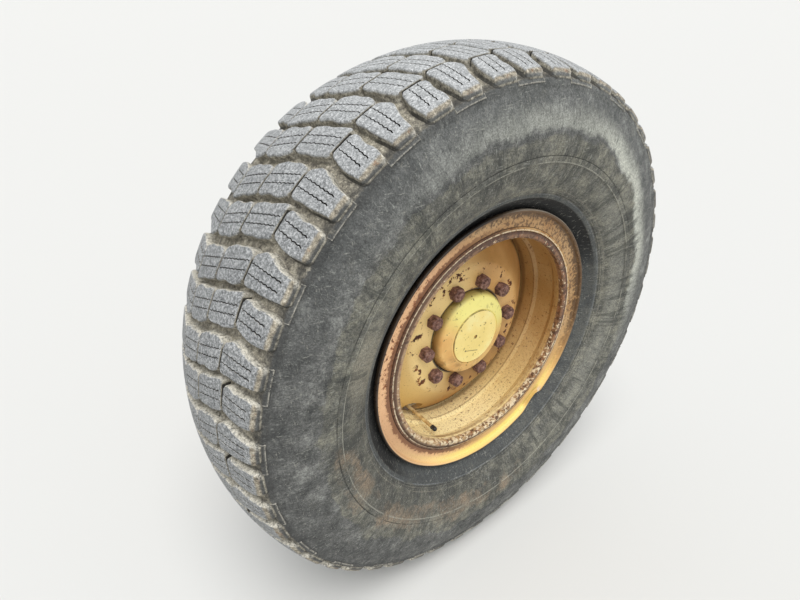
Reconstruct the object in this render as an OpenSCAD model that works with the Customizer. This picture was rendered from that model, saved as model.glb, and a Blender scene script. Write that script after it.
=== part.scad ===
// Front wheel of a motor grader, left side: tyre, rim of three rings, dished disc and hub,
// on the stub axle of its steering knuckle.
// Millimetres. X is forward, Y is outward along the axle, Z is up.
// The origin is where the kingpin's axis meets the axle.
// A clock angle is counted about the axle, from forward through up.
// Profiles are drawn as [radius, station], a station being measured outward
// from the wheel's centre plane, and are then revolved about the axle.

/* [Placement] */
// Kingpin axis to the wheel's centre plane
wheel_offset = 280; // [260:1:340]

/* [Tyre] */
// Diameter over the tread
tyre_d = 1375; // [1305:5:1440]
// Width over the sidewalls
tyre_w = 406; // [390:1:420]
// Width of the flat of the tread, between the slopes of its shoulders
tread_w = 338; // [320:2:350]
// How far a shoulder slopes out beyond that flat
shoulder_out = 8.5; // [5:0.5:12]
// How far a shoulder slopes down
shoulder_drop = 11; // [8:0.5:14]
// Radius of the arc across the tread
crown_arc = 450; // [420:5:600]
// Depth of the tread
tread_depth = 20; // [12:1:26]
// Radius of the arc across the floor of the tread's grooves
floor_arc = 490; // [450:5:600]
// Rubber under the tread
under_tread = 26; // [18:1:34]
// Thickness of the sidewall
sidewall_t = 24; // [18:1:30]
// Where the sidewall is widest, as a share of its height above the flange
belly_share = 0.495; // [0.47:0.005:0.52]
// Radius of the sidewall's arc, as a share of that height
belly_round = 0.693; // [0.67:0.001:0.72]
// Width of each bead
bead_w = 43; // [36:1:50]
// Radius at which the bead's thick part ends
bead_top_r = 396; // [385:1:410]

/* [Tread] */
// How often the pair of block rows repeats round the tyre
pitch_count = 25; // [20:1:30]
// Clock angle of one row with a short shoulder block
tread_clock = 12.5; // [0:0.1:14.4]
// How far forward the far half's blocks lie from the near half's mirror image
half_shift = -50.6; // [-60:0.2:0]
// Middle of the pattern outboard of the wheel's centre plane
pattern_shift = 6; // [0:1:12]

/* [Rim] */
// Diameter of the bead seats
bead_seat_d = 635; // [610:1:660]
// Width between the flanges
rim_w = 254; // [240:1:260]
// Height of the flanges over the bead seats
flange_h = 38; // [32:1:42]
// Thickness of the flanges
flange_t = 9; // [8:1:11]
// Outer radius of the flange's curl
curl_r = 16; // [14:1:20]
// How far a flange stands out from the bead's face
flange_out = 21; // [19:1:26]
// Taper of the bead seats, in degrees
seat_taper = 5; // [3:0.5:6]
// Height of the bead seats over the rim's barrel
seat_rise = 14.5; // [12:0.5:18]
// Thickness of the barrel
barrel_t = 10; // [8:1:12]
// Thickness of the barrel where the disc and the gutter stiffen it
thick_t = 19; // [15:1:22]
// Station at which the thick disc seat ends outboard
step_station = 38; // [28:1:56]
// Station at which the gutter section starts
gutter_station = 102; // [96:1:106]
// Width of the lock ring's groove
gutter_w = 16; // [14:1:18]
// Depth of the lock ring's groove
gutter_depth = 8; // [6:1:9]
// Width of the lip outboard of the groove
lip_w = 9; // [7:1:12]
// How far the lock ring stands over the barrel
lock_ring_h = 8; // [6:1:10]
// Clock angle of the lock ring's split
split_clock = 126; // [0:1:359]
// Width of the split
split_w = 4; // [2:0.5:8]

/* [Disc] */
// Thickness of the disc
disc_t = 12; // [10:1:16]
// Station of the disc's outboard face
disc_station = 56; // [48:1:64]
// Flat of the disc outside the stud circle
disc_flat = 43; // [36:1:56]
// Station at which the disc's outboard face meets the barrel
disc_edge_station = -12; // [-22:1:-4]
// Radius of the disc's bend
disc_bend = 34; // [20:1:50]
// Middle of the valve window inward of the stem
window_inset = 8; // [6:1:12]
// Length of the valve window
window_l = 62; // [50:1:90]
// Width of the valve window
window_w = 36; // [30:1:38]
// Clock angle of the valve and its window
valve_clock = 301; // [0:1:359]

/* [Hub] */
// Diameter of the circle of wheel studs
stud_circle_d = 285.75; // [280:0.25:295]
// Number of wheel studs
stud_count = 10; // [6:1:10]
// Clock angle of the first stud
stud_clock = -3; // [-18:1:18]
// Diameter of the wheel studs
stud_d = 22; // [18:1:24]
// Width across the flats of the wheel nuts
nut_flats = 33; // [30:1:36]
// Height of the wheel nuts
nut_h = 22; // [18:1:26]
// Width of the hub's flange outside the stud circle
hub_edge = 29; // [24:1:35]
// Thickness of the hub's flange
hub_flange_t = 26; // [20:1:32]
// Stud circle to the rim of the hub's pilot
pilot_land = 26; // [23:1:32]
// Gap between the pilot and the disc
pilot_gap = 3; // [1:0.5:4]
// Radius of the hub's barrel
hub_barrel_r = 88; // [84:1:96]
// Station of the hub's inboard end
hub_back_station = -107; // [-114:1:-97]
// Height of the hub cap over the disc
cap_h = 35; // [24:1:40]
// Radius of the cap's flat face
cap_face_r = 75; // [65:1:85]

/* [Valve] */
// Radius of the valve stem
stem_r = 5; // [4:0.5:7]
// Barrel's inner wall to the middle of the stem
stem_clear = 23; // [20:1:26]
// Station of the stem's tip
stem_tip_station = 90; // [68:1:118]
// Length of the valve cap
valve_cap_l = 16; // [10:1:24]

/* [Knuckle] */
// Radius of the inner bearing journal
inner_journal_r = 45; // [42:1:50]
// Radius of the outer bearing journal
outer_journal_r = 32; // [28:1:36]
// Radius of the stub axle under the seal
seal_journal_r = 58; // [54:1:62]
// Radius of the kingpin's bore in its bushings
kingpin_r = 25; // [22:0.5:28]
// Wall of the kingpin bushings
bushing_t = 5; // [4:0.5:7]
// Length of each kingpin bushing
bushing_l = 62; // [50:1:80]
// Radius of the kingpin boss
boss_r = 60; // [54:1:64]
// Height of the kingpin boss
boss_h = 236; // [210:2:260]
// Radius of the knuckle's flange behind the hub
knuckle_flange_r = 96; // [90:1:104]
// Thickness of that flange
knuckle_flange_t = 20; // [16:1:26]

/* [Steering arm] */
// Kingpin axis to the tie rod eye, rearward
arm_reach = 230; // [200:1:260]
// Tie rod eye inboard of the kingpin axis
arm_inset = 34; // [20:1:50]
// Height of the arm's middle below the axle
arm_drop = 70; // [60:1:80]
// Width of the arm's pad on the knuckle
arm_pad_w = 96; // [84:1:104]
// Height of the pad
arm_pad_h = 92; // [84:1:98]
// Distance of the pad's outboard edge from the kingpin axis
arm_pad_out = 62; // [54:1:66]
// Thickness of the arm's plate on the pad
arm_plate_t = 18; // [14:1:24]
// How far the pad stands off the boss
arm_pad_stand = 18; // [14:1:26]
// Spacing of the arm's bolts, along the axle and upward
arm_bolt_pitch = 66; // [56:1:72]
// Thickness of the arm
arm_t = 34; // [28:1:40]
// Radius of the tie rod eye's bore
eye_r = 14; // [12:0.5:16]
// Radius of the tie rod eye
eye_boss_r = 34; // [30:1:38]

/* [Hidden] */
$fn = 96;

// Width of the hub's seal
seal_w = 16;
// Clearances: at seats on the wheel, and of the running journals
seat_gap = 0.3;
run_gap = 0.05;
// Colours
paint = "goldenrod";
hub_paint = "khaki";
rust = "saddlebrown";
rubber = "dimgray";
steel = "silver";

seat_r = bead_seat_d / 2;
barrel_r = seat_r - seat_rise;
barrel_inner_r = barrel_r - barrel_t;
thick_r = barrel_r - thick_t;
flange_r = seat_r + flange_h;
bead_face = rim_w / 2;
lip_face = bead_face + flange_out;
tyre_r = tyre_d / 2;
crown_centre = tyre_r - crown_arc;
floor_centre = tyre_r - tread_depth - floor_arc;
wall_h = tyre_r - flange_r;
belly_r = flange_r + belly_share * wall_h;
belly_arc = max(belly_round * wall_h, tyre_w / 2 + 2);
belly_shift = belly_arc - tyre_w / 2;
tread_breaks = [-tread_w / 2, pattern_shift - 92, pattern_shift, pattern_shift + 90, tread_w / 2];
groove_start = gutter_station + 14;
stud_r = stud_circle_d / 2;
pilot_r = stud_r - pilot_land;
stem_at_r = barrel_inner_r - stem_clear;
stem_foot_station = disc_edge_station - 2 * disc_t - 10;
window_r = stem_at_r - window_inset;
window_reach = disc_station - disc_edge_station + 4 * disc_t;
pad_x = -boss_r - arm_pad_stand;
pad_mid_y = arm_pad_out - arm_pad_w / 2;
groove_end = groove_start + gutter_w;
rim_lip_station = groove_end + lip_w;

function at_angle(c, r, a) = [c[0] + r * cos(a), c[1] + r * sin(a)];
function arc(c, r, a0, a1, n) = [for (i = [0:n]) at_angle(c, r, a0 + (a1 - a0) * i / n)];
function lens_half(r, inset) = sqrt(pow(belly_arc - inset, 2) - pow(belly_r - r, 2)) - belly_shift;
function crown_at(station) = crown_centre + sqrt(pow(crown_arc, 2) - pow(station, 2));
function floor_at(station) = floor_centre + sqrt(pow(floor_arc, 2) - pow(station, 2));
function seat_radius(station) = seat_r - (bead_face - abs(station)) * tan(seat_taper);

// Revolves a profile about the axle, a profile's second value being its station
module revolve() {
    translate([0, wheel_offset, 0]) rotate([-90, 0, 0]) rotate_extrude($fn = 144) children();
}

// Puts a shape drawn along Z on the axle's direction, at a clock angle, radius and station
module on_clock(clock, r, station) {
    translate([0, wheel_offset + station, 0]) rotate([0, -clock, 0]) translate([r, 0, 0])
        rotate([-90, 0, 0]) children();
}

// A cylinder along the axle between two stations counted from the kingpin's axis
module axle_rod(y0, y1, r0, r1) {
    translate([0, y0, 0]) rotate([-90, 0, 0]) cylinder(h = y1 - y0, r1 = r0, r2 = r1);
}

module sidewall_lens(inset) {
    intersection() {
        translate([belly_r, -belly_shift]) circle(r = belly_arc - inset, $fn = 240);
        translate([belly_r, belly_shift]) circle(r = belly_arc - inset, $fn = 240);
    }
}

// The casing from the beads' tops up to the floor of the tread's grooves, without the air space
module casing_section() {
    inner_crown = crown_arc - tread_depth - under_tread;
    difference() {
        intersection() {
            polygon(concat([[bead_top_r, -tyre_w], [floor_at(-tyre_w / 2), -tyre_w / 2]],
                           [for (s = tread_breaks) [floor_at(s), s]],
                           [[floor_at(tyre_w / 2), tyre_w / 2], [bead_top_r, tyre_w]]));
            sidewall_lens(0);
        }
        intersection() {
            sidewall_lens(sidewall_t);
            translate([crown_centre, 0]) circle(r = inner_crown, $fn = 360);
        }
    }
}

// The shoulder on one side: a ledge under the tread's blocks with a thin raised line below it
module shoulder_section(side) {
    ledge = tread_w / 2 + shoulder_out + 0.5;
    ledge_r = floor_at(ledge);
    polygon([for (p = [[ledge_r - 26, ledge - 20], [ledge_r - 17.5, ledge + 2], [ledge_r - 14, ledge + 4],
                       [ledge_r, ledge], [ledge_r - 7, ledge - 20]]) [p[0], side * p[1]]]);
}

// The bead on one side, which reaches a little into the sidewall
module bead_section(side) {
    toe = bead_face - bead_w;
    root_r = bead_top_r + 9;
    points = [[seat_radius(toe) + seat_gap, toe],
              [seat_radius(bead_face) + seat_gap, bead_face - seat_gap],
              [flange_r - 0.6 * curl_r, bead_face - seat_gap],
              [flange_r + 5, bead_face + 5],
              [flange_r + 18, bead_face + 17],
              [root_r, lens_half(root_r, 1)],
              [root_r, lens_half(root_r, sidewall_t - 1)],
              [seat_r + 24, toe]];
    polygon([for (p = points) [p[0], side * p[1]]]);
}

// Outlines of the tread's blocks on the near half, as [along the tread, station] from the pattern's middle
short_shoulder = [[-32, 190], [28, 190], [28, 127], [37, 102], [-22, 95], [-34, 125]];
short_centre = [[-29, 88], [42, 86], [24, 42], [11, 10], [-45, 10], [-41, 58]];
long_shoulder = [[-30, 190], [18, 190], [23, 137], [40, 101], [23, 78], [-34, 78]];
long_centre = [[-32, 72], [23, 72], [28, 54], [3, -4], [-59, -2], [-49, 40]];

// The other half's blocks are the near half's turned round
function turned(outline) = [for (p = outline) [half_shift - p[0], -p[1]]];

// The tread's section across the axle: crown, sloping shoulders, and a foot sunk in the casing
module row_section() {
    edge = tread_w / 2 + shoulder_out;
    crown = [for (s = tread_breaks) [crown_at(s), s]];
    low_r = crown_at(tread_w / 2) - shoulder_drop;
    foot = [for (i = [len(tread_breaks) - 2:-1:1]) [floor_at(tread_breaks[i]) - 6, tread_breaks[i]]];
    polygon(concat([[floor_at(edge) - 8, -edge], [low_r, -edge]], crown,
                   [[low_r, edge], [floor_at(edge) - 8, edge]], foot));
}

// One row of four blocks across the tread: prisms pointing out, cut by a bar with the tread's section
module block_row(outlines) {
    low = tyre_r - 90;
    intersection() {
        rotate([0, 90, 0]) translate([0, pattern_shift, low]) linear_extrude(100)
            for (outline = outlines) polygon([for (p = outline) [-p[0], p[1]]]);
        translate([-0.7, 0, -100]) linear_extrude(200) row_section();
    }
}

module tread_rows() {
    pitch = 360 / pitch_count;
    translate([0, wheel_offset, 0]) for (i = [0:pitch_count - 1]) {
        rotate([0, -tread_clock - i * pitch, 0])
            block_row([short_shoulder, short_centre, turned(long_centre), turned(long_shoulder)]);
        rotate([0, -tread_clock - (i + 0.5) * pitch, 0])
            block_row([long_shoulder, long_centre, turned(short_centre), turned(short_shoulder)]);
    }
}

module tyre() {
    color(rubber) {
        revolve() casing_section();
        for (side = [-1, 1]) revolve() shoulder_section(side);
        revolve() bead_section(1);
        revolve() bead_section(-1);
        tread_rows();
    }
}

// A flange: its wall from a radius up, the curl, and a lip with a round edge
module flange_section(from_r) {
    curl_centre_r = flange_r - curl_r;
    curl_station = bead_face + curl_r;
    translate([from_r, bead_face]) square([curl_centre_r - from_r, flange_t]);
    intersection() {
        translate([curl_centre_r, curl_station]) difference() {
            circle(r = curl_r, $fn = 72);
            circle(r = curl_r - flange_t, $fn = 72);
        }
        translate([curl_centre_r, bead_face]) square([curl_r, curl_r]);
    }
    translate([flange_r - flange_t, curl_station])
        square([flange_t, lip_face - flange_t / 2 - curl_station]);
    translate([flange_r - flange_t / 2, lip_face - flange_t / 2]) circle(d = flange_t, $fn = 48);
}

module rim_base() {
    seat_end = bead_face - bead_w - 8;
    color(paint) difference() {
        revolve() {
            mirror([0, 1]) flange_section(barrel_inner_r);
            polygon([[barrel_inner_r, -bead_face],
                     [seat_radius(bead_face), -bead_face],
                     [seat_radius(seat_end), -seat_end],
                     [barrel_r, 14 - seat_end],
                     [barrel_r, groove_start],
                     [barrel_r - gutter_depth, groove_start],
                     [barrel_r - gutter_depth, groove_end],
                     [barrel_r - 2, groove_end],
                     [barrel_r - 2, rim_lip_station - 3],
                     [barrel_r - 5, rim_lip_station],
                     [thick_r + 3, rim_lip_station],
                     [thick_r, rim_lip_station - 3],
                     [thick_r, gutter_station + 8],
                     [barrel_inner_r, gutter_station - 6],
                     [barrel_inner_r, step_station + 6],
                     [thick_r, step_station],
                     [thick_r, disc_edge_station - 1.5 * disc_t],
                     [barrel_inner_r, disc_edge_station - 2 * disc_t]]);
        }
        on_clock(valve_clock, stem_at_r, stem_foot_station) rotate([0, 90, 0])
            cylinder(r = stem_r + seat_gap, h = seat_r - stem_at_r);
    }
}

// Bites out of the flange's lip, where a pry bar has worked
flange_bites = [
    // clock angle, radius at the bite's bottom, radius of the bite
    [232, 329, 30],
    [239, 341, 36]
];

module side_flange() {
    bore_r = barrel_r + seat_gap;
    ring_r = barrel_r + lock_ring_h + seat_gap;
    seat_end = bead_face - bead_w - 4;
    color(paint) difference() {
        revolve() {
            flange_section(ring_r);
            polygon([[bore_r, seat_end], [seat_radius(seat_end), seat_end],
                     [seat_radius(bead_face), bead_face], [seat_r, bead_face + flange_t],
                     [ring_r, bead_face + flange_t], [ring_r, groove_start + lock_ring_h],
                     [bore_r, groove_start]]);
        }
        for (bite = flange_bites)
            on_clock(bite[0], bite[1] + bite[2], bead_face + flange_t) cylinder(r = bite[2], h = 60);
    }
}

module lock_ring() {
    foot_r = barrel_r - gutter_depth + seat_gap;
    top_r = barrel_r + lock_ring_h;
    color(rust) difference() {
        revolve() polygon([[foot_r, groove_start + seat_gap],
                           [barrel_r, groove_start + seat_gap],
                           [top_r, groove_start + seat_gap + lock_ring_h],
                           [top_r, rim_lip_station - 4],
                           [top_r - 2, rim_lip_station - 2],
                           [barrel_r - 2 + seat_gap, rim_lip_station - 2],
                           [barrel_r - 2 + seat_gap, groove_end - seat_gap],
                           [foot_r, groove_end - seat_gap]]);
        on_clock(split_clock, top_r - 8, groove_start)
            translate([-20, -split_w / 2, -5]) cube([40, split_w, 60]);
    }
}

// The dish: flat centre, a bend, a cone, and the welded edge
function dish_line(station, bend) =
    let (disc_flat_r = stud_r + disc_flat,
         slope = atan2(disc_station - disc_edge_station, thick_r - disc_flat_r),
         c = [disc_flat_r - disc_bend * tan(slope / 2), station - disc_bend])
    arc(c, bend, 90, 90 - slope, 8);

module wheel_disc() {
    edge_r = thick_r - seat_gap;
    face = dish_line(disc_station, disc_bend);
    back = dish_line(disc_station, disc_bend - disc_t);
    color(paint) difference() {
        revolve() polygon(concat(
            [[pilot_r + pilot_gap, disc_station]], face,
            [[edge_r, disc_edge_station], [edge_r, disc_edge_station - 1.4 * disc_t]],
            [for (i = [len(back) - 1:-1:0]) back[i]],
            [[pilot_r + pilot_gap, disc_station - disc_t]]));
        for (i = [0:stud_count - 1])
            on_clock(stud_clock + i * 360 / stud_count, stud_r, disc_station - disc_t - 1)
                cylinder(d = stud_d + 2, h = disc_t + 2);
        on_clock(valve_clock, window_r, disc_edge_station - 2 * disc_t) window_slot();
    }
}

// A slot with round ends, across the radius, long enough to pass the dish
module window_slot() {
    half = (window_l - window_w) / 2;
    translate([-window_w / 2, -half, 0]) cube([window_w, 2 * half, window_reach]);
    for (side = [-1, 1]) translate([0, side * half, 0]) cylinder(d = window_w, h = window_reach);
}

module hub() {
    flange_back = disc_station - disc_t - hub_flange_t;
    color(hub_paint) difference() {
        revolve() polygon([[inner_journal_r + run_gap, hub_back_station + seal_w],
                           [seal_journal_r + 16, hub_back_station + seal_w],
                           [seal_journal_r + 16, hub_back_station],
                           [hub_barrel_r, hub_back_station],
                           [hub_barrel_r, flange_back - 40],
                           [hub_barrel_r + 26, flange_back],
                           [stud_r + hub_edge, flange_back],
                           [stud_r + hub_edge, disc_station - disc_t],
                           [pilot_r, disc_station - disc_t],
                           [pilot_r, disc_station],
                           [outer_journal_r + run_gap + 14, disc_station],
                           [outer_journal_r + run_gap + 14, disc_station - 8],
                           [outer_journal_r + run_gap, disc_station - 8],
                           [outer_journal_r + run_gap, disc_station - 46],
                           [inner_journal_r + 18, disc_station - 56],
                           [inner_journal_r + 18, hub_back_station + 66],
                           [inner_journal_r + run_gap, hub_back_station + 60]]);
        for (i = [0:stud_count - 1])
            on_clock(stud_clock + i * 360 / stud_count, stud_r, flange_back - 1)
                cylinder(d = stud_d, h = hub_flange_t + 2);
    }
}

module hub_cap() {
    foot = disc_station;
    top = disc_station + cap_h;
    rise = pilot_r - cap_face_r;
    color(hub_paint) revolve() difference() {
        polygon(concat([[0, foot + 14], [pilot_r - 26, foot + 14], [pilot_r - 26, foot], [pilot_r, foot]],
                       arc([pilot_r - 30, foot + 2], 30, 0, 48, 8),
                       [[cap_face_r + 3, top - 2], [cap_face_r + 3, top - 3.5], [cap_face_r, top - 3.5],
                        [cap_face_r, top - 1], [cap_face_r - 1, top], [0, top]]));
        translate([-1, top - 6]) square([5, 10]);
    }
}

module hub_seal() {
    color(steel) revolve() polygon([[seal_journal_r + seat_gap, hub_back_station],
                                    [seal_journal_r + 16, hub_back_station],
                                    [seal_journal_r + 16, hub_back_station + seal_w - seat_gap],
                                    [seal_journal_r + seat_gap, hub_back_station + seal_w - seat_gap]]);
}

module wheel_studs() {
    back = disc_station - disc_t - hub_flange_t;
    tip = disc_station + nut_h + 4;
    color(rust) for (i = [0:stud_count - 1])
        on_clock(stud_clock + i * 360 / stud_count, stud_r, back) {
            cylinder(d = stud_d, h = tip - back - 2);
            translate([0, 0, tip - back - 2]) cylinder(d1 = stud_d, d2 = stud_d - 4, h = 2);
            translate([0, 0, -6]) cylinder(d = stud_d + 9, h = 6);
        }
}

module wheel_nuts() {
    corner_r = nut_flats / 2 / cos(30);
    color(rust) for (i = [0:stud_count - 1])
        on_clock(stud_clock + i * 360 / stud_count, stud_r, disc_station) difference() {
            intersection() {
                cylinder(r = corner_r, h = nut_h, $fn = 6);
                union() {
                    cylinder(r = corner_r + 1, h = nut_h - 4);
                    translate([0, 0, nut_h - 4]) cylinder(r1 = corner_r + 1, r2 = nut_flats / 2 - 2, h = 4);
                }
            }
            translate([0, 0, -1]) cylinder(d = stud_d, h = nut_h + 2);
        }
}

module valve_stem() {
    top_r = barrel_r - seat_gap;
    length = stem_tip_station - stem_foot_station;
    color(steel) {
        on_clock(valve_clock, stem_at_r, stem_foot_station) {
            cylinder(r = stem_r, h = length);
            sphere(r = stem_r, $fn = 48);
            rotate([0, 90, 0]) cylinder(r = stem_r, h = barrel_r - barrel_t - stem_at_r + 4);
            translate([barrel_r - barrel_t - stem_at_r - 8, 0, 0]) rotate([0, 90, 0])
                cylinder(r = stem_r + 4, h = 7, $fn = 6);
        }
    }
}

module valve_cap() {
    color("dimgray") on_clock(valve_clock, stem_at_r, stem_tip_station) {
        cylinder(r = stem_r + 1.5, h = valve_cap_l - 3);
        translate([0, 0, valve_cap_l - 3]) cylinder(r1 = stem_r + 1.5, r2 = stem_r - 1, h = 3);
    }
}

hub_back_y = wheel_offset + hub_back_station;
knuckle_face_y = hub_back_y - 6;

module knuckle() {
    neck_y = knuckle_face_y - knuckle_flange_t;
    color(paint) difference() {
        union() {
            translate([0, 0, -boss_h / 2]) cylinder(r = boss_r, h = boss_h);
            axle_rod(0, neck_y + 2, boss_r - 4, knuckle_flange_r - 14);
            axle_rod(neck_y, knuckle_face_y, knuckle_flange_r, knuckle_flange_r);
            axle_rod(knuckle_face_y - 1, hub_back_y + seal_w - 1, seal_journal_r, seal_journal_r);
            axle_rod(hub_back_y + seal_w - 2, hub_back_y + 60, inner_journal_r, inner_journal_r);
            axle_rod(hub_back_y + 59, wheel_offset + disc_station - 46, inner_journal_r, outer_journal_r);
            axle_rod(wheel_offset + disc_station - 47, wheel_offset + disc_station + 6,
                     outer_journal_r, outer_journal_r);
            arm_pad(pad_x, -pad_x);
        }
        translate([0, 0, -boss_h / 2 - 1]) cylinder(r = kingpin_r + bushing_t, h = boss_h + 2);
    }
}

// A block the size of the pad on the knuckle's rear, from a place forward
module arm_pad(x, t) {
    translate([x, arm_pad_out - arm_pad_w, -arm_drop - arm_pad_h / 2]) cube([t, arm_pad_w, arm_pad_h]);
}

module kingpin_bushings() {
    color("peru") for (side = [-1, 1])
        translate([0, 0, side * (boss_h - bushing_l) / 2 - bushing_l / 2]) difference() {
            cylinder(r = kingpin_r + bushing_t, h = bushing_l);
            translate([0, 0, -1]) cylinder(r = kingpin_r, h = bushing_l + 2);
        }
}

module steering_arm() {
    root_x = pad_x - arm_plate_t + 1;
    eye = [-arm_reach, -arm_inset];
    color(paint) difference() {
        union() {
            arm_pad(pad_x - arm_plate_t, arm_plate_t);
            translate([0, 0, -arm_drop - arm_t / 2]) linear_extrude(arm_t)
                polygon([[root_x, arm_pad_out - 6], [root_x, arm_pad_out - arm_pad_w + 6],
                         eye - [0, eye_boss_r - 4], eye + [0, eye_boss_r - 4]]);
            translate([eye[0], eye[1], -arm_drop - arm_t / 2]) cylinder(r = eye_boss_r, h = arm_t);
        }
        translate([eye[0], eye[1], -arm_drop - arm_t]) cylinder(r = eye_r, h = 2 * arm_t);
    }
}

module arm_bolts() {
    half = arm_bolt_pitch / 2;
    color(rust) for (y = [-half, half], z = [-half, half])
        translate([pad_x - arm_plate_t, pad_mid_y + y, z - arm_drop]) rotate([0, -90, 0])
            cylinder(r = 13, h = 12, $fn = 6);
}

knuckle();
kingpin_bushings();
steering_arm();
arm_bolts();
tyre();
rim_base();
side_flange();
lock_ring();
wheel_disc();
hub();
hub_cap();
hub_seal();
wheel_studs();
wheel_nuts();
valve_stem();
valve_cap();
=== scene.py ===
# Front wheel of a motor grader: camera, soft light, worn materials, and the pieces with fine relief.
# Materials: fore and rise say how far forward and up from the axle a place lies, from -1 to 1.
import math
import random

import bmesh
import bpy
from mathutils import Matrix, Vector
from mathutils.geometry import delaunay_2d_cdt


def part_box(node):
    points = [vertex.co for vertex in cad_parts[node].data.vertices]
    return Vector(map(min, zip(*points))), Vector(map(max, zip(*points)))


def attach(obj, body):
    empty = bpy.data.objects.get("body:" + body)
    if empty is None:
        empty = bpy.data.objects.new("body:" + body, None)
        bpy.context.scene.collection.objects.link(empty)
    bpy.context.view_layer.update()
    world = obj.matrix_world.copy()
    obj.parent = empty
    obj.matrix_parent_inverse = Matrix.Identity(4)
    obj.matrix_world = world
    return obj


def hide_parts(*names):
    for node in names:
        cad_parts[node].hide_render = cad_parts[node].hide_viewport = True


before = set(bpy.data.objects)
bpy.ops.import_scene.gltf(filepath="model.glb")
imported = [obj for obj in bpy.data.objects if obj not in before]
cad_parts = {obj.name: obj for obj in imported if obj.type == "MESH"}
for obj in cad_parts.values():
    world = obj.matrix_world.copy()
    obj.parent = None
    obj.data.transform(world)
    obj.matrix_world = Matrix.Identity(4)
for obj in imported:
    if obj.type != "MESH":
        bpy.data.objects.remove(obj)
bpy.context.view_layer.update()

MM = 0.001
TYRE_LOW, TYRE_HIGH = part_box("tyre")
FLANGE_LOW, FLANGE_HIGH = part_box("side_flange")
WHEEL_Y = (TYRE_LOW[1] + TYRE_HIGH[1]) / 2
BELLY_HALF = (TYRE_HIGH[1] - TYRE_LOW[1]) / 2
FLANGE_R = (FLANGE_HIGH[0] - FLANGE_LOW[0]) / 2
LIP_Y = FLANGE_HIGH[1]
FLOOR_Z = TYRE_LOW[2]


def linear(code):
    """A colour written as six hex digits, as the linear colour that a node takes."""
    parts = [int(code[i:i + 2], 16) / 255 for i in (0, 2, 4)]
    values = [c / 12.92 if c <= 0.04045 else ((c + 0.055) / 1.055) ** 2.4 for c in parts]
    return (*values, 1.0)


def placed(name, data):
    """A new object in the scene."""
    obj = bpy.data.objects.new(name, data)
    bpy.context.scene.collection.objects.link(obj)
    return obj


# Camera, floor and light

def make_camera():
    """Looks at the wheel from outside, in front and above."""
    right = Vector((-0.7911, 0.6117, -0.0017))
    up = Vector((-0.3150, -0.4051, 0.8583))
    back = Vector((0.5243, 0.6795, 0.5132))
    place = Vector((0, LIP_Y, 0)) + FLANGE_R * Vector((2.457, 2.127, 2.291))
    data = bpy.data.cameras.new("camera")
    data.sensor_width = 36
    data.lens = 24.975
    data.clip_end = 400
    camera = placed("camera", data)
    turn = Matrix((right, up, back)).transposed()
    camera.matrix_world = Matrix.Translation(place) @ turn.to_4x4()
    bpy.context.scene.camera = camera


def make_floor():
    """A wide pale floor under the tyre."""
    size = 90
    corners = [(-size, -size), (size, -size), (size, size), (-size, size)]
    mesh = bpy.data.meshes.new("floor")
    mesh.from_pydata([(x, y, FLOOR_Z) for x, y in corners], [], [(0, 1, 2, 3)])
    floor = placed("floor", mesh)
    mesh.materials.append(Graph("pale_floor").finish(linear("d9d8d4"), 0.9))


def background(tree, colour, strength):
    node = tree.nodes.new("ShaderNodeBackground")
    node.inputs["Color"].default_value = colour
    node.inputs["Strength"].default_value = strength
    return node


def make_light():
    """An even sky, white where the camera or a reflection sees it, and one wide soft lamp from above."""
    world = bpy.data.worlds.new("sky")
    bpy.context.scene.world = world
    world.use_nodes = True
    tree = world.node_tree
    tree.nodes.clear()
    path = tree.nodes.new("ShaderNodeLightPath")
    seen = tree.nodes.new("ShaderNodeMath")
    seen.operation = "MAXIMUM"
    tree.links.new(path.outputs["Is Camera Ray"], seen.inputs[0])
    tree.links.new(path.outputs["Is Glossy Ray"], seen.inputs[1])
    sky = background(tree, (0.93, 0.96, 1.0, 1.0), 0.58)
    white = background(tree, (1.0, 1.0, 1.0, 1.0), 1.0)
    mix = tree.nodes.new("ShaderNodeMixShader")
    tree.links.new(seen.outputs[0], mix.inputs[0])
    tree.links.new(sky.outputs[0], mix.inputs[1])
    tree.links.new(white.outputs[0], mix.inputs[2])
    out = tree.nodes.new("ShaderNodeOutputWorld")
    tree.links.new(mix.outputs[0], out.inputs[0])

    lamp = bpy.data.lights.new("soft_lamp", "SUN")
    lamp.energy = 2.5
    lamp.angle = math.radians(40)
    sun = placed("soft_lamp", lamp)
    sun.rotation_euler = Vector((0.3, 0.55, 1.5)).to_track_quat("Z", "Y").to_euler()


# Node graphs

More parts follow.
